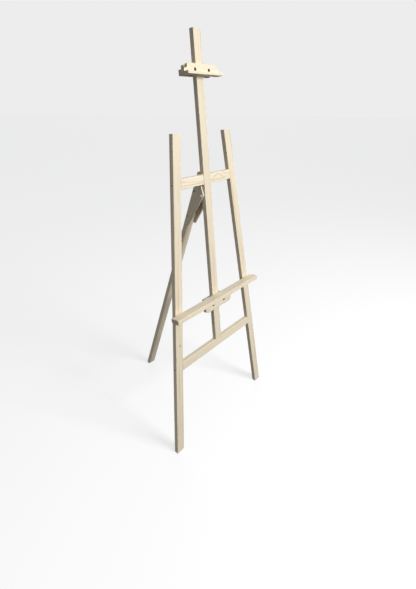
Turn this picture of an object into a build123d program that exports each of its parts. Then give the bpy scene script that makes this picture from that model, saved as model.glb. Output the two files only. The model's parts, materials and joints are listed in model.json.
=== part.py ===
from build123d import *
import os
from math import acos, atan2, cos, degrees, hypot, radians, sin, tan

os.makedirs("parts", exist_ok=True)

# ---------------------------------------------------------------------------
# Driving dimensions (mm, degrees)
# ---------------------------------------------------------------------------
# planed timber used for the whole frame
member_width = 40.0
member_depth = 20.0
edge_round = 2.0

# leaning front frame: heights are measured up the lean from the floor line
lean = 6.0
foot_half_spread = 310.0
top_half_spread = 145.0
leg_height = 1370.0
mast_top = 1716.0
mast_proud = 2.0
mast_side_play = 0.4
lower_rail_top = 442.0
upper_rail_drop = 162.0
lap_depth = 10.0
joint_play = 0.1

# wood screws
screw_shank = 4.5
screw_head = 8.0
screw_head_height = 3.0
screw_slot_width = 1.0
screw_slot_length = 6.4
screw_point_length = 4.0
screw_point_taper = 25.0
screw_sink = 5.0
rail_screw_length = 70.0
foot_screw_length = 90.0
lap_screw_length = 14.0
lap_screw_spacing = 20.0
cheek_screw_length = 25.0
pilot_over = 1.0

# machine bolts and washers
bolt_diameter = 6.0
bolt_play = 0.1
bolt_head = 11.0
bolt_head_height = 4.0
bolt_head_edge = 1.6
bolt_recess = 5.0
bolt_recess_play = 0.5
bolt_tip = 4.0
washer_diameter = 14.0
washer_thickness = 1.5

# hex nut sunk in the right cheek
pivot_nut_flats = 10.0
pivot_nut_height = 5.0
pivot_nut_pocket = 12.5
pivot_nut_sink = 5.5

# wing nuts
nut_base = 12.0
nut_top = 9.5
nut_height = 8.0
wing_reach = 15.0
wing_rise = 6.0
wing_thickness = 2.5
wing_root = 3.4
wing_foot = 5.5
wing_corner = 3.5
wing_margin = 1.0

# sliding canvas clamp on the mast
grip_play = 0.3
grip_half_spacing = 37.0
back_board = 12.0
clamp_drop = 154.0
clamp_half_width = 95.0
clamp_end_height = 20.0
clamp_height = 38.0
clamp_shoulder = 62.0
clamp_board = 12.0
clamp_lip_depth = 20.0
clamp_lip_height = 10.0
clamp_back_half_width = 78.0
clamp_back_shoulder = 50.0
clamp_bolt_height = 18.0

# sliding canvas tray on the mast
tray_top = 675.0
tray_half_width = 274.0
tray_depth = 40.0
tray_thickness = 20.0
tray_corner = 26.0
apron_board = 16.0
apron_drop = 42.0
apron_wing_drop = 8.0
apron_shoulder = 62.0
apron_half_width = 112.0
tray_back_half_width = 57.0
tray_back_shoulder = 46.0
tray_back_rise = 4.0
tray_back_height = 66.0
tray_back_side = 48.0
tray_bolt_drop = 20.0

# hinged rear leg: its heights are measured down from the upper crossbar's top
leg_spread = 25.5
bearing_drop = 12.0
bearing_play = 0.3
rear_leg_rise = 10.0
pivot_drop = 83.0
pivot_inset = 7.0
cheek_thickness = 8.0
cheek_nose = 8.0
cheek_rail_gap = 3.0
cheek_length = 218.0
cheek_top_setback = 1.0
cheek_back_inset = 10.0
cheek_toe_reach = 10.0
cheek_corner = 5.0
cheek_screw_drops = (68.0, 178.0)

# ---------------------------------------------------------------------------
# Worked-out places
# ---------------------------------------------------------------------------
mast_width = member_width - 2 * mast_side_play
mast_back = member_depth - mast_proud
mast_middle = mast_back - member_depth / 2
lower_rail_base = lower_rail_top - member_width
upper_rail_top = leg_height - upper_rail_drop
upper_rail_base = upper_rail_top - member_width
rail_middles = (lower_rail_top - member_width / 2, upper_rail_top - member_width / 2)
leg_slope = (foot_half_spread - top_half_spread) / leg_height
leg_half_across = member_width / 2 * hypot(1, leg_slope)
below_floor = 4 * member_depth

sin_lean, cos_lean = sin(radians(lean)), cos(radians(lean))
bearing_height = upper_rail_top - bearing_drop
bearing_back = member_depth + bearing_play
pivot_height = upper_rail_top - pivot_drop
pivot_back = mast_back - pivot_inset
rear_leg_top = upper_rail_top + rear_leg_rise
rear_leg_across = member_depth / cos(radians(leg_spread))
rear_lean = leg_spread - lean
bearing_y = bearing_height * sin_lean + bearing_back * cos_lean
bearing_z = bearing_height * cos_lean - bearing_back * sin_lean
rear_foot_y = bearing_y + bearing_z * tan(radians(rear_lean))
overall_depth = rear_foot_y + member_depth / cos(radians(rear_lean))
front_y = -overall_depth / 2

up_lean = Vector(0, sin_lean, cos_lean)
to_front = Vector(0, -cos_lean, sin_lean)

# The frame plane holds the front faces of the legs: local X across, local Y up
# the lean, local Z out towards the artist.
frame_plane = Plane(origin=(0, front_y, 0), x_dir=(1, 0, 0), z_dir=to_front)

sides = (("left", -1), ("right", 1))


def behind(depth):
    """Plane parallel to the frame plane, this far behind the legs' front faces."""
    return frame_plane.offset(-depth)


def frame_point(x, up, back):
    """World point from across, up-the-lean and back-from-the-front distances."""
    return Vector(x, front_y, 0) + up_lean * up - to_front * back


def side_plane(x):
    """Upright plane across the easel: local X runs back, local Y up the lean."""
    return Plane(origin=(x, front_y, 0), x_dir=-to_front, z_dir=(1, 0, 0))


def facing(x, up, back, direction):
    """Plane at a frame point whose normal is front, back, up, down, left or right."""
    normals = {
        "front": to_front,
        "back": -to_front,
        "up": up_lean,
        "down": -up_lean,
        "left": Vector(-1, 0, 0),
        "right": Vector(1, 0, 0),
    }
    across = up_lean if direction in ("left", "right") else Vector(1, 0, 0)
    return Plane(origin=frame_point(x, up, back), x_dir=across, z_dir=normals[direction])


def section_through(plane):
    """Plane cut along another's normal: local X is shared, local Y is the normal."""
    return Plane(origin=plane.origin, x_dir=plane.x_dir, z_dir=-plane.y_dir)


def leg_axis(up):
    """Distance from the middle to a front leg's centre line."""
    return foot_half_spread - leg_slope * up


def leg_inner(up):
    return leg_axis(up) - leg_half_across


def leg_outer(up):
    return leg_axis(up) + leg_half_across


def rear_leg_front(up):
    """Distance behind the frame plane of the rear leg's front face."""
    return bearing_back + (bearing_height - up) * tan(radians(leg_spread))


def long_edges(part):
    """Edges that run along a frame member."""
    return part.edges().filter_by(lambda edge: edge.length > 2 * member_width)


def long_and_top_edges(part):
    """Long edges of an upright member, with the rim of its top end."""
    top = part.faces().sort_by(Axis.Z)[-1]
    return long_edges(part) + top.edges()


def rim_facing(part, direction):
    """Edges of the outermost flat face that looks in a direction."""
    looking = [face for face in part.faces() if face.normal_at().dot(direction) > 0.999]
    return max(looking, key=lambda face: face.center().dot(direction)).edges()


def finish(part, name):
    part.label = name
    export_step(part, f"parts/{name}.step")


def outline(points):
    """Closed straight-sided face on the current sketch."""
    Polygon(*points, align=None)


def ogee_half(side, wide, low, narrow, high):
    """S-shaped shoulder from (wide, low) in to (narrow, high), level at both ends."""
    start, start_pull = (wide * side, low), (narrow * side, low)
    end, end_pull = (narrow * side, high), (wide * side, high)
    Bezier(start, start_pull, end_pull, end)


def shouldered_board(flat, half_width, shoulder_start, shoulder, far):
    """Outline of a board: one straight long edge, ogee shoulders to a narrower far edge."""
    with BuildLine() as rim:
        Line((-half_width, flat), (half_width, flat))
        for _, side in sides:
            Line((side * half_width, flat), (side * half_width, shoulder_start))
            ogee_half(side, half_width, shoulder_start, shoulder, far)
        Line((-shoulder, far), (shoulder, far))
    make_face(rim.edges())


# ---------------------------------------------------------------------------
# Fasteners, added to the part being built
# ---------------------------------------------------------------------------
def clear_hole(plane, diameter, length):
    """Round hole from a plane, against its normal."""
    with BuildSketch(plane) as bore:
        Circle(diameter / 2)
    extrude(bore.sketch, amount=-length, mode=Mode.SUBTRACT)


def screw_hole(mouth, length):
    """Sunk head pocket and shank hole of one wood screw entering at a plane."""
    clear_hole(mouth, screw_head + 2 * joint_play, screw_sink)
    clear_hole(mouth, screw_shank + 2 * joint_play, length)


def pilot_hole(mouth, length):
    """Shank hole, a little longer than its screw."""
    clear_hole(mouth, screw_shank + 2 * joint_play, length + pilot_over)


def bolt_hole(mouth, length):
    clear_hole(mouth, bolt_diameter + 2 * bolt_play, length)


def add_screw(mouth, length):
    """Slotted wood screw whose tip lies this far below its mouth plane."""
    seat = mouth.offset(-screw_sink)
    straight = length - screw_sink - screw_point_length
    with BuildSketch(seat) as head:
        Circle(screw_head / 2)
    extrude(head.sketch, amount=screw_head_height)
    with BuildSketch(seat) as shank:
        Circle(screw_shank / 2)
    extrude(shank.sketch, amount=-straight)
    with BuildSketch(seat.offset(-straight)) as point:
        Circle(screw_shank / 2)
    extrude(point.sketch, amount=-screw_point_length, taper=screw_point_taper)
    with BuildSketch(seat.offset(screw_head_height)) as slot:
        Rectangle(screw_slot_length, screw_slot_width)
    extrude(slot.sketch, amount=-screw_slot_width, mode=Mode.SUBTRACT)


def add_bolt(seat, length):
    """Round-headed bolt: domed head above the seat plane, shank below it."""
    with BuildSketch(section_through(seat)) as half_bolt:
        with BuildLine() as rim:
            Line((0, -length), (bolt_diameter / 2, -length))
            Line((bolt_diameter / 2, -length), (bolt_diameter / 2, 0))
            Line((bolt_diameter / 2, 0), (bolt_head / 2, 0))
            Line((bolt_head / 2, 0), (bolt_head / 2, bolt_head_edge))
            Bezier(
                (bolt_head / 2, bolt_head_edge),
                (bolt_head / 2, bolt_head_height),
                (0, bolt_head_height),
            )
            Line((0, bolt_head_height), (0, -length))
        make_face(rim.edges())
    revolve(half_bolt.sketch, axis=Axis(seat.origin, seat.z_dir))


def add_washer(seat):
    with BuildSketch(seat) as ring:
        Circle(washer_diameter / 2)
        Circle(bolt_diameter / 2 + bolt_play, mode=Mode.SUBTRACT)
    extrude(ring.sketch, amount=washer_thickness)


def wing_outline(side):
    """One wing of a nut, in the plane cut along the nut's axis."""
    rim = nut_height + wing_rise
    root = (side * wing_root, wing_margin)
    foot = (side * wing_foot, wing_margin)
    belly = (side * (wing_reach - wing_thickness), wing_thickness)
    tip = (side * wing_reach, rim - wing_corner)
    crown = (side * (wing_reach - wing_corner), rim)
    hollow = (side * nut_top / 2, rim)
    neck = (side * wing_root, nut_height - wing_margin)
    Line(root, foot)
    Bezier(foot, belly, tip)
    Bezier(tip, (side * wing_reach, rim), crown)
    Bezier(crown, hollow, neck)
    Line(neck, root)


def wing_nut(seat, name):
    """Wing nut standing on a plane, wings along the plane's X."""
    rim = nut_height + wing_rise
    with BuildPart() as nut:
        with BuildSketch(seat):
            Circle(nut_base / 2)
        with BuildSketch(seat.offset(nut_height)):
            Circle(nut_top / 2)
        loft()
        with BuildSketch(section_through(seat)):
            for _, side in sides:
                with BuildLine() as wing:
                    wing_outline(side)
                make_face(wing.edges())
        extrude(amount=wing_thickness / 2, both=True)
        bolt_hole(seat.offset(rim), 2 * rim)
    finish(nut.part, name)


# ---------------------------------------------------------------------------
# Front frame
# ---------------------------------------------------------------------------
def rail_screw_mouths(up):
    """Where a crossbar's end screws enter, on the legs' outer sides."""
    return [facing(side * leg_outer(up), up, member_depth / 2, name) for name, side in sides]


def front_leg(side, outward):
    with BuildPart() as leg:
        with BuildSketch(frame_plane):
            outline(
                [
                    (side * leg_inner(-below_floor), -below_floor),
                    (side * leg_outer(-below_floor), -below_floor),
                    (side * leg_outer(leg_height), leg_height),
                    (side * leg_inner(leg_height), leg_height),
                ]
            )
        extrude(amount=-member_depth)
        fillet(long_and_top_edges(leg), edge_round)
        split(bisect_by=Plane.XY, keep=Keep.TOP)
        for up in rail_middles:
            mouth = facing(side * leg_outer(up), up, member_depth / 2, outward)
            screw_hole(mouth, rail_screw_length)
    finish(leg.part, f"{outward}_leg")


for outward, side in sides:
    front_leg(side, outward)


def rail_blank(base):
    """Crossbar that fills the space between the legs' inner faces."""
    high = base + member_width
    with BuildSketch(frame_plane) as blank:
        outline(
            [
                (-leg_inner(base), base),
                (leg_inner(base), base),
                (leg_inner(high), high),
                (-leg_inner(high), high),
            ]
        )
    extrude(blank.sketch, amount=-member_depth)


def end_screw_holes(up):
    for mouth in rail_screw_mouths(up):
        pilot_hole(mouth, rail_screw_length)


lower_rail_middle, upper_rail_middle = rail_middles
lap_screw_mouths = [
    facing(x, upper_rail_middle, member_depth, "back")
    for x in (-lap_screw_spacing / 2, lap_screw_spacing / 2)
]
foot_screw_mouth = facing(0, lower_rail_base, mast_middle, "down")

with BuildPart() as upper_crossbar:
    rail_blank(upper_rail_base)
    fillet(long_edges(upper_crossbar), edge_round)
    with BuildSketch(frame_plane):
        with Locations((0, upper_rail_middle)):
            Rectangle(mast_width + 2 * joint_play, 2 * member_width)
    extrude(amount=-lap_depth, mode=Mode.SUBTRACT)
    end_screw_holes(upper_rail_middle)
    for mouth in lap_screw_mouths:
        screw_hole(mouth, member_depth)
finish(upper_crossbar.part, "upper_crossbar")

with BuildPart() as lower_crossbar:
    rail_blank(lower_rail_base)
    fillet(long_edges(lower_crossbar), edge_round)
    end_screw_holes(lower_rail_middle)
    screw_hole(foot_screw_mouth, member_width)
finish(lower_crossbar.part, "lower_crossbar")

with BuildPart() as mast:
    with BuildSketch(behind(-mast_proud)):
        outline(
            [
                (-mast_width / 2, lower_rail_top),
                (mast_width / 2, lower_rail_top),
                (mast_width / 2, mast_top),
                (-mast_width / 2, mast_top),
            ]
        )
    extrude(amount=-member_depth)
    fillet(long_and_top_edges(mast), edge_round)
    with BuildSketch(behind(mast_back)):
        with Locations((0, upper_rail_middle)):
            Rectangle(2 * member_width, member_width + 2 * joint_play)
    extrude(amount=mast_back - lap_depth, mode=Mode.SUBTRACT)
    for mouth in lap_screw_mouths:
        pilot_hole(mouth, lap_screw_length)
    bolt_hole(facing(member_width, pivot_height, pivot_back, "right"), 2 * member_width)
    pilot_hole(foot_screw_mouth, foot_screw_length)
finish(mast.part, "mast")

with BuildPart() as crossbar_screws:
    for up in rail_middles:
        for mouth in rail_screw_mouths(up):
            add_screw(mouth, rail_screw_length)
finish(crossbar_screws.part, "crossbar_screws")

with BuildPart() as lap_screws:
    for mouth in lap_screw_mouths:
        add_screw(mouth, lap_screw_length)
finish(lap_screws.part, "lap_screws")

with BuildPart() as mast_foot_screw:
    add_screw(foot_screw_mouth, foot_screw_length)
finish(mast_foot_screw.part, "mast_foot_screw")


# ---------------------------------------------------------------------------
# Parts that grip the mast: canvas clamp and canvas tray
# ---------------------------------------------------------------------------
front_face = -mast_proud - grip_play
back_face = mast_back + grip_play
nut_seat = back_face + back_board + washer_thickness
grip_offsets = [(name, side * grip_half_spacing) for name, side in sides]


def grip_bolts(up, board, name):
    """Pair of bolts whose heads sit in recesses in the front board."""
    head_seat = front_face - board + bolt_recess
    with BuildPart() as bolts:
        for _, x in grip_offsets:
            seat = facing(x, up, head_seat, "front")
            add_bolt(seat, nut_seat + nut_height + bolt_tip - head_seat)
    finish(bolts.part, name)


def grip_washers(up, name):
    with BuildPart() as washers:
        for _, x in grip_offsets:
            add_washer(facing(x, up, back_face + back_board, "back"))
    finish(washers.part, name)


def grip_nuts(up, prefix):
    for side_name, x in grip_offsets:
        wing_nut(facing(x, up, nut_seat, "back"), f"{prefix}_wing_nut_{side_name}")


def front_board_holes(up, board):
    """Bolt holes of a front board, each with a recess for the bolt's head."""
    for _, x in grip_offsets:
        mouth = facing(x, up, front_face - board, "front")
        bolt_hole(mouth, board)
        clear_hole(mouth, bolt_head + 2 * bolt_recess_play, bolt_recess)


def back_board_holes(up):
    for _, x in grip_offsets:
        bolt_hole(facing(x, up, back_face, "front"), back_board)


clamp_base = mast_top - clamp_drop
clamp_bolt_up = clamp_base + clamp_bolt_height
clamp_front_plane = behind(front_face - clamp_board)

with BuildPart() as clamp_front:
    with BuildSketch(clamp_front_plane):
        shouldered_board(
            clamp_base,
            clamp_half_width,
            clamp_base + clamp_end_height,
            clamp_shoulder,
            clamp_base + clamp_height,
        )
    extrude(amount=-clamp_board)
    with BuildSketch(clamp_front_plane):
        with Locations((0, clamp_base + clamp_lip_height / 2)):
            Rectangle(2 * clamp_half_width, clamp_lip_height)
    extrude(amount=clamp_lip_depth)
    fillet(rim_facing(clamp_front, to_front), edge_round)
    front_board_holes(clamp_bolt_up, clamp_board)
finish(clamp_front.part, "clamp_front")

with BuildPart() as clamp_back:
    with BuildSketch(behind(back_face)):
        shouldered_board(
            clamp_base,
            clamp_back_half_width,
            clamp_base + clamp_end_height,
            clamp_back_shoulder,
            clamp_base + clamp_height,
        )
    extrude(amount=-back_board)
    back_board_holes(clamp_bolt_up)
finish(clamp_back.part, "clamp_back")

grip_bolts(clamp_bolt_up, clamp_board, "clamp_bolts")
grip_washers(clamp_bolt_up, "clamp_washers")
grip_nuts(clamp_bolt_up, "clamp")

shelf_base = tray_top - tray_thickness
tray_bolt_up = shelf_base - tray_bolt_drop
tray_back_top = shelf_base + tray_back_rise
tray_back_low = tray_back_top - tray_back_height

with BuildPart() as tray_shelf:
    with BuildSketch(facing(0, tray_top, front_face, "up")):
        with Locations((0, -tray_depth / 2)):
            Rectangle(2 * tray_half_width, tray_depth)
    extrude(amount=-tray_thickness)
    upright_edges = tray_shelf.edges().filter_by(Axis((0, 0, 0), up_lean))
    fillet(upright_edges.group_by(Axis.Y)[-1].sort_by(Axis.X)[-1], tray_corner)
    fillet(rim_facing(tray_shelf, up_lean) + rim_facing(tray_shelf, -up_lean), edge_round)
finish(tray_shelf.part, "tray_shelf")

with BuildPart() as tray_apron:
    with BuildSketch(behind(front_face - apron_board)):
        shouldered_board(
            shelf_base,
            apron_half_width,
            shelf_base - apron_wing_drop,
            apron_shoulder,
            shelf_base - apron_drop,
        )
    extrude(amount=-apron_board)
    front_board_holes(tray_bolt_up, apron_board)
finish(tray_apron.part, "tray_apron")

with BuildPart() as tray_back:
    with BuildSketch(behind(back_face)):
        shouldered_board(
            tray_back_top,
            tray_back_half_width,
            tray_back_top - tray_back_side,
            tray_back_shoulder,
            tray_back_low,
        )
    extrude(amount=-back_board)
    back_board_holes(tray_bolt_up)
finish(tray_back.part, "tray_back")

grip_bolts(tray_bolt_up, apron_board, "tray_bolts")
grip_washers(tray_bolt_up, "tray_washers")
grip_nuts(tray_bolt_up, "tray")


# ---------------------------------------------------------------------------
# Rear leg, its cheeks and the pivot
# ---------------------------------------------------------------------------
cheek_face = member_width / 2 + cheek_thickness
cheek_lap = member_depth - cheek_back_inset
cheek_screw_ups = [upper_rail_top - drop for drop in cheek_screw_drops]


def cheek_screw_mouth(outward, side, up):
    """Where a cheek's screw enters, over the middle of its lap on the rear leg."""
    back = rear_leg_front(up) + cheek_lap / 2 / cos(radians(leg_spread))
    return facing(side * cheek_face, up, back, outward)


with BuildPart() as rear_leg:
    with BuildSketch(side_plane(-member_width / 2)):
        low = -below_floor - rear_foot_y * sin_lean
        outline(
            [
                (bearing_back, rear_leg_top),
                (bearing_back, bearing_height),
                (rear_leg_front(low), low),
                (rear_leg_front(low) + rear_leg_across, low),
                (rear_leg_front(rear_leg_top) + rear_leg_across, rear_leg_top),
            ]
        )
    extrude(amount=member_width)
    fillet(long_edges(rear_leg), edge_round)
    split(bisect_by=Plane.XY, keep=Keep.TOP)
    for up in cheek_screw_ups:
        for outward, side in sides:
            pilot_hole(cheek_screw_mouth(outward, side, up), cheek_screw_length)
finish(rear_leg.part, "rear_leg")


def nose_angle(point, turn):
    """Where on the round nose a straight edge to a point leaves it, in degrees."""
    away = point - Vector(pivot_back, pivot_height)
    return degrees(atan2(away.Y, away.X) + turn * acos(cheek_nose / away.length))


def cheek_outline():
    """Side of a cheek: round nose at the pivot, and a lap down the leg's side."""
    high = upper_rail_base - cheek_rail_gap
    low = upper_rail_top - cheek_length
    into_leg = Vector(cos(radians(leg_spread)), sin(radians(leg_spread)))
    leg_corner = Vector(rear_leg_front(low), low)
    toe = leg_corner - into_leg * cheek_toe_reach
    heel = leg_corner + into_leg * cheek_lap
    top_front = Vector(pivot_back + cheek_top_setback, high)
    top_back = Vector(rear_leg_front(high) + cheek_lap / cos(radians(leg_spread)), high)
    nose_start = nose_angle(top_front, 1)
    nose_sweep = 360 + nose_angle(toe, -1) - nose_start
    with BuildLine() as rim:
        nose = CenterArc((pivot_back, pivot_height), cheek_nose, nose_start, nose_sweep)
        Line(nose @ 0, top_front)
        Line(top_front, top_back)
        Line(top_back, heel)
        Line(heel, toe)
        Line(toe, nose @ 1)
    make_face(rim.edges())


def cheek(outward, side):
    """Side plate that carries the rear leg from the pivot bolt in the mast."""
    inner_x = member_width / 2 if side > 0 else -cheek_face
    with BuildPart() as plate:
        with BuildSketch(side_plane(inner_x)) as shape:
            cheek_outline()
            top_corners = shape.vertices().group_by(Axis.Y)[-1]
            heel_corner = shape.vertices().sort_by(Axis.X)[-1]
            fillet([*top_corners, heel_corner], cheek_corner)
        extrude(amount=cheek_thickness)
        mouth = facing(side * cheek_face, pivot_height, pivot_back, outward)
        bolt_hole(mouth, cheek_thickness)
        if outward == "right":
            clear_hole(mouth, pivot_nut_pocket, pivot_nut_sink)
        for up in cheek_screw_ups:
            screw_hole(cheek_screw_mouth(outward, side, up), cheek_thickness)
    finish(plate.part, f"{outward}_cheek")


for outward, side in sides:
    cheek(outward, side)

with BuildPart() as cheek_screws:
    for up in cheek_screw_ups:
        for outward, side in sides:
            add_screw(cheek_screw_mouth(outward, side, up), cheek_screw_length)
finish(cheek_screws.part, "cheek_screws")

pivot_left, pivot_right = [
    facing(side * cheek_face, pivot_height, pivot_back, outward)
    for outward, side in sides
]

with BuildPart() as pivot_bolt:
    add_bolt(pivot_left.offset(washer_thickness), 2 * cheek_face + washer_thickness)
finish(pivot_bolt.part, "pivot_bolt")

with BuildPart() as pivot_washer:
    add_washer(pivot_left)
finish(pivot_washer.part, "pivot_washer")

with BuildPart() as pivot_nut:
    with BuildSketch(pivot_right.offset(-pivot_nut_sink)):
        RegularPolygon(pivot_nut_flats / 2, 6, major_radius=False)
        Circle(bolt_diameter / 2 + bolt_play, mode=Mode.SUBTRACT)
    extrude(amount=pivot_nut_height)
finish(pivot_nut.part, "pivot_nut")

print("frame front, overall depth", round(front_y, 3), round(overall_depth, 3))
print("pivot", [round(v, 3) for v in frame_point(0, pivot_height, pivot_back)])
print("overall height", round(mast_top * cos_lean + mast_proud * sin_lean, 2))
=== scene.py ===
import json
from math import radians

import bmesh
import bpy
import numpy as np
from mathutils import Euler, Matrix, Vector


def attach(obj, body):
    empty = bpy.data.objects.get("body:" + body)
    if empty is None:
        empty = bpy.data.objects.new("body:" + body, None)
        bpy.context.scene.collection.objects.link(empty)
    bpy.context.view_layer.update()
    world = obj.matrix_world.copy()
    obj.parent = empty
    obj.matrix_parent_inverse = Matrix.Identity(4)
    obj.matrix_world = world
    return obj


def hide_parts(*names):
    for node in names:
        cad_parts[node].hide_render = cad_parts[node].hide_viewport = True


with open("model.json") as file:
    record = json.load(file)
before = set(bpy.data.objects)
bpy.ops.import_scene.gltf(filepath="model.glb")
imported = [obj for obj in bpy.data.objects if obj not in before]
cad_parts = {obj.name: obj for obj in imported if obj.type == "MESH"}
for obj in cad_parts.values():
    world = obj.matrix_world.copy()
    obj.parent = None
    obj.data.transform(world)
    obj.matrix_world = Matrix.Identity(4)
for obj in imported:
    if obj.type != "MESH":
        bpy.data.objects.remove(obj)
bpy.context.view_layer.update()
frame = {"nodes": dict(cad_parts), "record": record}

# ---------------------------------------------------------------------------
# Sizes (metres, degrees)
# ---------------------------------------------------------------------------
weld_gap = 1e-6
flat_angle = 1.0

board_ease = 0.0012
board_segments = 3
board_corner = 40
board_crease = 28

washer_ease = 0.0004
nut_ease = 0.0006
metal_segments = 2
metal_corner = 50
metal_crease = 35

cast_voxel = 0.00035
cast_smoothing = 0.5
cast_passes = 5
cast_faces_kept = 0.35

# How far each board's grain starts from the one before it, so that no two match.
pattern_gap = 3.7

# Grain patterns: (along the board, across it, through it), in waves to a metre.
knot_waves = (4.2, 9.0, 0.0)
slow_waves = (1.6, 9, 1)
quick_waves = (9, 60, 1)
patch_waves = (4, 18, 1)
streak_waves = (3.0, 160, 160)
fibre_waves = (16, 1100, 1100)

ring_spacing = 0.0034
heart_drift = (0.012, -0.018)
slow_bend = 0.011
quick_bend = 0.0016
knot_bend = 0.0075
late_sharpness = 2.6

# Knots: distances from the nearest knot's middle, as parts of the gap between knots.
knot_core = 0.0192
knot_rim_edge = 0.0384
knot_edge = 0.0432
swirl_core = 0.02
swirl_edge = 0.30

grain_relief = 0.00018
metal_relief = 0.00006
metal_fine_scale = 900
metal_broad_scale = 140
hollow_reach = 0.003
hollow_samples = 8

camera_place = Vector((-1.0808, -1.1212, 1.4708))
camera_heading = -48.704
camera_pitch = -24.042
camera_roll = 0.40
camera_lens = 21.635
camera_shift = (0.0018, -0.0611)
view_reach = 200

floor_radius = 40.0
floor_corners = 96
floor_colour = (0.36, 0.36, 0.365, 1)
floor_glow = 0.655
backdrop_colour = (0.85, 0.845, 0.85, 1)
key_place = (0.7, -3.1, 2.5)
key_target = (0, 0, 0.9)
key_power = 116.0
key_size = 1.4
rim_place = (2, 2, 2)
rim_target = (0, 0, 0.6)
rim_energy = 0.4
rim_angle = 40
sky_colour = (0.97, 0.98, 1.0, 1)
light_from_below = -0.02
light_from_above = 0.48


# ---------------------------------------------------------------------------
# Camera
# ---------------------------------------------------------------------------
def make_camera():
    data = bpy.data.cameras.new("camera")
    data.lens = camera_lens
    data.shift_x, data.shift_y = camera_shift
    data.clip_end = view_reach
    camera = bpy.data.objects.new("camera", data)
    turn = Euler((radians(90 + camera_pitch), 0, radians(camera_heading))).to_matrix()
    turn = turn @ Matrix.Rotation(radians(camera_roll), 3, "Z")
    camera.matrix_world = Matrix.Translation(camera_place) @ turn.to_4x4()
    bpy.context.scene.collection.objects.link(camera)
    bpy.context.scene.camera = camera


# ---------------------------------------------------------------------------
# Node trees
# ---------------------------------------------------------------------------
class Shades:
    """A material being wired, one short call per node."""

    def __init__(self, name):
        self.material = bpy.data.materials.new(name)
        self.material.use_nodes = True
        self.tree = self.material.node_tree
        self.shader = self.tree.nodes["Principled BSDF"]
        self.coordinates = self.tree.nodes.new("ShaderNodeTexCoord")

    def feed(self, socket, value):
        if isinstance(value, bpy.types.NodeSocket):
            self.tree.links.new(value, socket)
        else:
            socket.default_value = value

    def maths(self, operation, *values, clamp=False):
        node = self.tree.nodes.new("ShaderNodeMath")
        node.operation = operation
        node.use_clamp = clamp
        for socket, value in zip(node.inputs, values):
            self.feed(socket, value)
        return node.outputs[0]

    def vector(self, operation, *values):
        node = self.tree.nodes.new("ShaderNodeVectorMath")
        node.operation = operation
        for socket, value in zip(node.inputs, values):
            self.feed(socket, value)
        return node.outputs["Value" if operation in ("DOT_PRODUCT", "LENGTH") else "Vector"]

    def combine(self, x, y, z):
        node = self.tree.nodes.new("ShaderNodeCombineXYZ")
        for socket, value in zip(node.inputs, (x, y, z)):
            self.feed(socket, value)
        return node.outputs[0]

    def noise(self, place, scale=1.0, detail=2.0, roughness=0.5):
        node = self.tree.nodes.new("ShaderNodeTexNoise")
        self.feed(node.inputs["Vector"], place)
        node.inputs["Scale"].default_value = scale
        node.inputs["Detail"].default_value = detail
        node.inputs["Roughness"].default_value = roughness
        return node.outputs["Fac"]

    def cells(self, place, scale=1.0):
        node = self.tree.nodes.new("ShaderNodeTexVoronoi")
        self.feed(node.inputs["Vector"], place)
        node.inputs["Scale"].default_value = scale
        return node.outputs["Distance"]

    def step(self, value, low, high):
        """0 at low, 1 at high, smooth between them."""
        node = self.tree.nodes.new("ShaderNodeMapRange")
        node.interpolation_type = "SMOOTHSTEP"
        self.feed(node.inputs["Value"], value)
        node.inputs["From Min"].default_value = low
        node.inputs["From Max"].default_value = high
        return node.outputs["Result"]

    def spread(self, value, low, high):
        """A 0 to 1 value spread over low to high."""
        node = self.tree.nodes.new("ShaderNodeMapRange")
        self.feed(node.inputs["Value"], value)
        node.inputs["To Min"].default_value = low
        node.inputs["To Max"].default_value = high
        return node.outputs["Result"]

    def mix(self, share, first, second, blend="MIX"):
        node = self.tree.nodes.new("ShaderNodeMix")
        node.data_type = "RGBA"
        node.blend_type = blend
        self.feed(node.inputs["Factor"], share)
        for name, value in (("A", first), ("B", second)):
            socket = [s for s in node.inputs if s.name == name and s.type == "RGBA"][0]
            self.feed(socket, value)
        return [s for s in node.outputs if s.type == "RGBA"][0]

    def bump(self, height, distance, strength=1.0):
        node = self.tree.nodes.new("ShaderNodeBump")
        node.inputs["Strength"].default_value = strength
        node.inputs["Distance"].default_value = distance
        self.feed(node.inputs["Height"], height)
        self.feed(self.shader.inputs["Normal"], node.outputs[0])


# ---------------------------------------------------------------------------
# Pine
# ---------------------------------------------------------------------------
def grain_axes(name):
    """A wooden node's middle, its long direction and its two cross directions."""
    mesh = frame["nodes"][name].data
    places = np.array([v.co for v in mesh.vertices], float)
    middle = places.mean(0)
    _, _, axes = np.linalg.svd(places - middle, full_matrices=False)
    return middle, [Vector(axis) for axis in axes]


# For each wooden node: where the tree's heart lay beside the board (across, deep),
# in metres, and how light the board is.
boards = {
    "left_leg": ((0.075, 0.020), 1.00),
    "right_leg": ((0.060, 0.045), 0.99),
    "mast": ((0.085, 0.015), 0.97),
    "upper_crossbar": ((0.020, 0.070), 1.03),
    "lower_crossbar": ((0.055, 0.035), 1.00),
    "clamp_front": ((0.030, 0.060), 1.02),
    "clamp_back": ((0.050, 0.030), 0.98),
    "tray_shelf": ((0.035, 0.055), 0.99),
    "tray_apron": ((0.060, 0.025), 1.00),
    "tray_back": ((0.045, 0.040), 0.96),
    "rear_leg": ((0.070, 0.030), 0.95),
    "left_cheek": ((0.080, 0.020), 0.94),
    "right_cheek": ((0.040, 0.065), 0.95),
}

early_wood = (0.800, 0.715, 0.560, 1)
late_wood = (0.560, 0.440, 0.270, 1)
end_wood = (0.500, 0.400, 0.270, 1)
knot_wood = (0.300, 0.150, 0.062, 1)
knot_rim = (0.160, 0.075, 0.035, 1)


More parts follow.
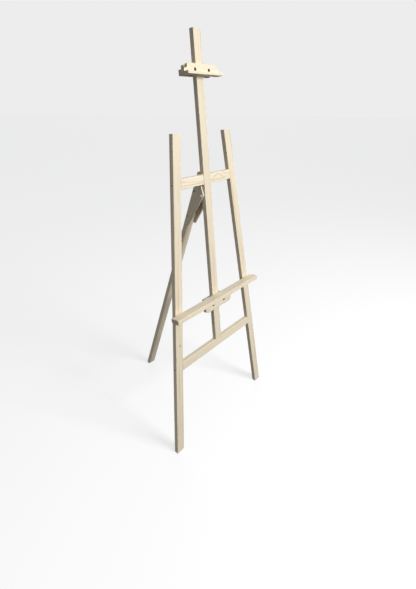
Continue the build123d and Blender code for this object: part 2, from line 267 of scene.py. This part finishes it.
def pine(name, number, heart, tone):
    """Bare planed pine: year rings round a heart line, fibres, pin knots, end grain."""
    s = Shades(f"pine_{name}")
    middle, (along, across, deep) = grain_axes(name)
    place = s.vector("SUBTRACT", s.coordinates.outputs["Object"], tuple(middle))
    u, v, w = (s.vector("DOT_PRODUCT", place, tuple(axis)) for axis in (along, across, deep))
    shifted = s.maths("ADD", u, pattern_gap * number)

    def stretched(waves):
        """The place on the board, scaled for a pattern with so many waves to a metre."""
        scaled = (s.maths("MULTIPLY", part, n) for part, n in zip((shifted, v, w), waves))
        return s.combine(*scaled)

    # pin knots, each a small branch through the board
    to_knot = s.cells(stretched(knot_waves))
    knot = s.step(to_knot, knot_edge, knot_core)
    rim = s.maths("MULTIPLY", knot, s.step(to_knot, knot_core, knot_rim_edge))
    swirl = s.step(to_knot, swirl_edge, swirl_core)

    # distance from the heart line, bent by slow and quick waves and round the knots
    slow = s.noise(stretched(slow_waves), detail=3)
    quick = s.noise(stretched(quick_waves))
    offsets = []
    for part, drift, start in zip((v, w), heart_drift, heart):
        drifted = s.maths("MULTIPLY_ADD", u, drift, start)
        offset = s.maths("ADD", part, drifted)
        offsets.append(s.maths("MULTIPLY", offset, offset))
    heart_gap = s.maths("SQRT", s.maths("ADD", *offsets))
    bent = s.maths("MULTIPLY_ADD", slow, slow_bend, heart_gap)
    bent = s.maths("MULTIPLY_ADD", quick, quick_bend, bent)
    bent = s.maths("MULTIPLY_ADD", swirl, knot_bend, bent)

    # a year's ring darkens slowly and ends at once
    year = s.maths("FRACT", s.maths("DIVIDE", bent, ring_spacing))
    late = s.maths("POWER", year, late_sharpness)
    late = s.maths("MULTIPLY", late, s.step(year, 1.0, 0.93))

    # long fibres, faint streaks and broad patches
    fibre = s.noise(stretched(fibre_waves), detail=4, roughness=0.65)
    streak = s.noise(stretched(streak_waves), detail=3)
    patch = s.noise(stretched(patch_waves))

    share = s.maths("MULTIPLY", late, s.spread(patch, 0.55, 0.95))
    colour = s.mix(share, early_wood, late_wood)
    streak_wood = s.mix(0.7, early_wood, late_wood)
    colour = s.mix(s.step(streak, 0.54, 0.72), colour, streak_wood)
    colour = s.mix(s.maths("MULTIPLY", knot, 0.85), colour, knot_wood)
    colour = s.mix(s.maths("MULTIPLY", rim, 0.8), colour, knot_rim)
    facing_end = s.maths(
        "ABSOLUTE", s.vector("DOT_PRODUCT", s.coordinates.outputs["Normal"], tuple(along))
    )
    end = s.step(facing_end, 0.80, 0.95)
    colour = s.mix(s.maths("MULTIPLY", end, 0.55), colour, end_wood)
    shade = s.maths("MULTIPLY", s.spread(fibre, 0.90, 1.09), s.spread(patch, 0.93, 1.06))
    shade = s.maths("MULTIPLY", shade, tone)
    colour = s.mix(1.0, colour, s.combine(shade, shade, shade), "MULTIPLY")

    s.feed(s.shader.inputs["Base Color"], colour)
    rough = s.maths("ADD", s.spread(fibre, 0.52, 0.72), s.maths("MULTIPLY", late, -0.08))
    s.feed(s.shader.inputs["Roughness"], rough)
    s.shader.inputs["Specular IOR Level"].default_value = 0.32
    height = s.maths("MULTIPLY_ADD", late, 0.6, s.maths("MULTIPLY", fibre, 0.7))
    height = s.maths("SUBTRACT", height, s.maths("MULTIPLY", knot, 0.4))
    s.bump(height, grain_relief, 0.55)
    return s.material


# ---------------------------------------------------------------------------
# Metal
# ---------------------------------------------------------------------------
# Painted shade: how far the colour in the hollows is pulled towards a near-black shade colour.
hollow_shade = 0.35
hollow_shade_colour = (0.02, 0.017, 0.013, 1)


def metal(name, light, dark, roughness):
    """Small cast or turned steel: fine mottling, worn patches and painted shade darkening the
    hollows.
    """
    s = Shades(name)
    place = s.coordinates.outputs["Object"]
    fine = s.noise(place, scale=metal_fine_scale, detail=5, roughness=0.6)
    broad = s.noise(place, scale=metal_broad_scale, detail=3)
    worn = s.step(broad, 0.42, 0.68)
    colour = s.mix(worn, dark, light)
    # Painted shade: ambient occlusion darkens the colour where the surface is shut in.
    hollow = s.tree.nodes.new("ShaderNodeAmbientOcclusion")
    hollow.inputs["Distance"].default_value = hollow_reach
    hollow.samples = hollow_samples
    shut = s.maths("SUBTRACT", 1.0, hollow.outputs["AO"])
    colour = s.mix(s.maths("MULTIPLY", shut, hollow_shade), colour, hollow_shade_colour)
    s.feed(s.shader.inputs["Base Color"], colour)
    s.shader.inputs["Metallic"].default_value = 1.0
    mottling = s.spread(fine, roughness - 0.08, roughness + 0.1)
    rough = s.maths("ADD", mottling, s.spread(broad, 0, 0.06))
    s.feed(s.shader.inputs["Roughness"], rough)
    s.bump(fine, metal_relief, 0.5)
    return s.material


zinc = metal("zinc_plate", (0.68, 0.68, 0.66, 1), (0.45, 0.45, 0.44, 1), 0.36)
screw_steel = metal("screw_steel", (0.30, 0.27, 0.23, 1), (0.14, 0.12, 0.10, 1), 0.45)
black_steel = metal(
    "blackened_steel", (0.055, 0.050, 0.045, 1), (0.020, 0.018, 0.016, 1), 0.5
)


# ---------------------------------------------------------------------------
# Pieces made from the frame's boards and castings
# ---------------------------------------------------------------------------
def only_material(piece, material):
    piece.data.materials.clear()
    piece.data.materials.append(material)


def add_piece(name, mesh, body, material, replaced):
    piece = bpy.data.objects.new(name, mesh)
    bpy.context.scene.collection.objects.link(piece)
    only_material(piece, material)
    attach(piece, body)
    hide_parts(*replaced)
    return piece


def body_of_node(name):
    bodies = frame["record"]["behaviour"]["bodies"]
    return next(body for body, members in bodies.items() if name in members)


def settle(piece):
    """Applies a piece's modifiers, so that its mesh is its final one."""
    graph = bpy.context.evaluated_depsgraph_get()
    made = bpy.data.meshes.new_from_object(piece.evaluated_get(graph))
    piece.modifiers.clear()
    piece.data = made


def welded_copy(name):
    """Copy of a CAD node's mesh with its flat faces whole again."""
    form = bmesh.new()
    form.from_mesh(frame["nodes"][name].data)
    bmesh.ops.remove_doubles(form, verts=form.verts, dist=weld_gap)
    bmesh.ops.dissolve_limit(
        form, angle_limit=radians(flat_angle), verts=form.verts, edges=form.edges
    )
    mesh = bpy.data.meshes.new(name)
    form.to_mesh(mesh)
    form.free()
    return mesh


def eased_piece(name, ending, material, ease, segments, corner, crease):
    """A CAD node with its edges taken off wherever it turns by more than the corner."""
    piece = add_piece(
        f"{name}_{ending}", welded_copy(name), body_of_node(name), material, [name]
    )
    bevel = piece.modifiers.new("ease", "BEVEL")
    bevel.width = ease
    bevel.segments = segments
    bevel.limit_method = "ANGLE"
    bevel.angle_limit = radians(corner)
    settle(piece)
    piece.data.shade_smooth()
    piece.data.set_sharp_from_angle(angle=radians(crease))


def eased_board(name):
    """A sawn board whose sharp edges have been taken off with sandpaper."""
    material = frame["nodes"][name].data.materials[0]
    eased_piece(
        name, "board", material, board_ease, board_segments, board_corner, board_crease
    )


def eased_metal(name, ending, ease):
    """A stamped or forged fastener with its sharp rims tumbled off."""
    eased_piece(
        name, ending, zinc, ease, metal_segments, metal_corner, metal_crease
    )


def cast_wing_nut(name):
    """Wing nut with the soft corners and blended roots of a casting."""
    piece = add_piece(
        f"{name}_cast", welded_copy(name), body_of_node(name), zinc, [name]
    )
    shell = piece.modifiers.new("skin", "REMESH")
    shell.mode = "VOXEL"
    shell.voxel_size = cast_voxel
    soften = piece.modifiers.new("soften", "SMOOTH")
    soften.factor = cast_smoothing
    soften.iterations = cast_passes
    thin = piece.modifiers.new("thin", "DECIMATE")
    thin.ratio = cast_faces_kept
    settle(piece)
    piece.data.shade_smooth()


make_camera()

for number, (name, (heart, tone)) in enumerate(boards.items()):
    only_material(frame["nodes"][name], pine(name, number, heart, tone))
for name in ("clamp_back", "tray_apron", "tray_back", "left_cheek", "right_cheek", "clamp_front"):
    eased_board(name)
for name in frame["nodes"]:
    if "wing_nut" in name:
        cast_wing_nut(name)
for name in ("crossbar_screws", "lap_screws", "mast_foot_screw", "cheek_screws"):
    only_material(frame["nodes"][name], screw_steel)
for name in ("clamp_bolts", "tray_bolts"):
    only_material(frame["nodes"][name], black_steel)
only_material(frame["nodes"]["pivot_bolt"], zinc)
for name in ("clamp_washers", "tray_washers", "pivot_washer"):
    eased_metal(name, "ring", washer_ease)
eased_metal("pivot_nut", "forging", nut_ease)


# ---------------------------------------------------------------------------
# Floor and light
# ---------------------------------------------------------------------------
def make_floor():
    """Pale floor that glows a little, and throws no light back up at the easel."""
    form = bmesh.new()
    bmesh.ops.create_circle(form, cap_ends=True, segments=floor_corners, radius=floor_radius)
    mesh = bpy.data.meshes.new("floor")
    form.to_mesh(mesh)
    form.free()
    floor = bpy.data.objects.new("floor", mesh)
    bpy.context.scene.collection.objects.link(floor)
    s = Shades("floor")
    s.shader.inputs["Base Color"].default_value = floor_colour
    s.shader.inputs["Emission Color"].default_value = (1, 1, 1, 1)
    s.shader.inputs["Emission Strength"].default_value = floor_glow
    s.shader.inputs["Roughness"].default_value = 0.9
    s.shader.inputs["Specular IOR Level"].default_value = 0.1
    only_material(floor, s.material)
    floor.visible_diffuse = False


def add_light(name, kind, energy, place, target):
    data = bpy.data.lights.new(name, kind)
    data.energy = energy
    light = bpy.data.objects.new(name, data)
    light.location = place
    light.rotation_mode = "QUATERNION"
    light.rotation_quaternion = (Vector(target) - Vector(place)).to_track_quat("-Z", "Y")
    bpy.context.scene.collection.objects.link(light)
    return data


def make_world():
    """Pale backdrop behind the floor; its light is brightest from above."""
    world = bpy.data.worlds.new("studio")
    world.use_nodes = True
    bpy.context.scene.world = world
    tree = world.node_tree
    tree.nodes.clear()
    seen, lighting = (tree.nodes.new("ShaderNodeBackground") for _ in range(2))
    seen.inputs["Color"].default_value = backdrop_colour
    lighting.inputs["Color"].default_value = sky_colour
    direction = tree.nodes.new("ShaderNodeTexCoord")
    split = tree.nodes.new("ShaderNodeSeparateXYZ")
    fade = tree.nodes.new("ShaderNodeMapRange")
    fade.inputs["From Min"].default_value = -1
    fade.inputs["To Min"].default_value = light_from_below
    fade.inputs["To Max"].default_value = light_from_above
    path = tree.nodes.new("ShaderNodeLightPath")
    choose = tree.nodes.new("ShaderNodeMixShader")
    out = tree.nodes.new("ShaderNodeOutputWorld")
    tree.links.new(direction.outputs["Generated"], split.inputs[0])
    tree.links.new(split.outputs["Z"], fade.inputs["Value"])
    tree.links.new(fade.outputs["Result"], lighting.inputs["Strength"])
    tree.links.new(path.outputs["Is Camera Ray"], choose.inputs[0])
    tree.links.new(lighting.outputs[0], choose.inputs[1])
    tree.links.new(seen.outputs[0], choose.inputs[2])
    tree.links.new(choose.outputs[0], out.inputs["Surface"])


make_floor()
key = add_light("key", "AREA", key_power, key_place, key_target)
key.shape = "SQUARE"
key.size = key_size
rim = add_light("rim", "SUN", rim_energy, rim_place, rim_target)
rim.angle = radians(rim_angle)
make_world()
bpy.context.scene.view_settings.view_transform = "Standard"
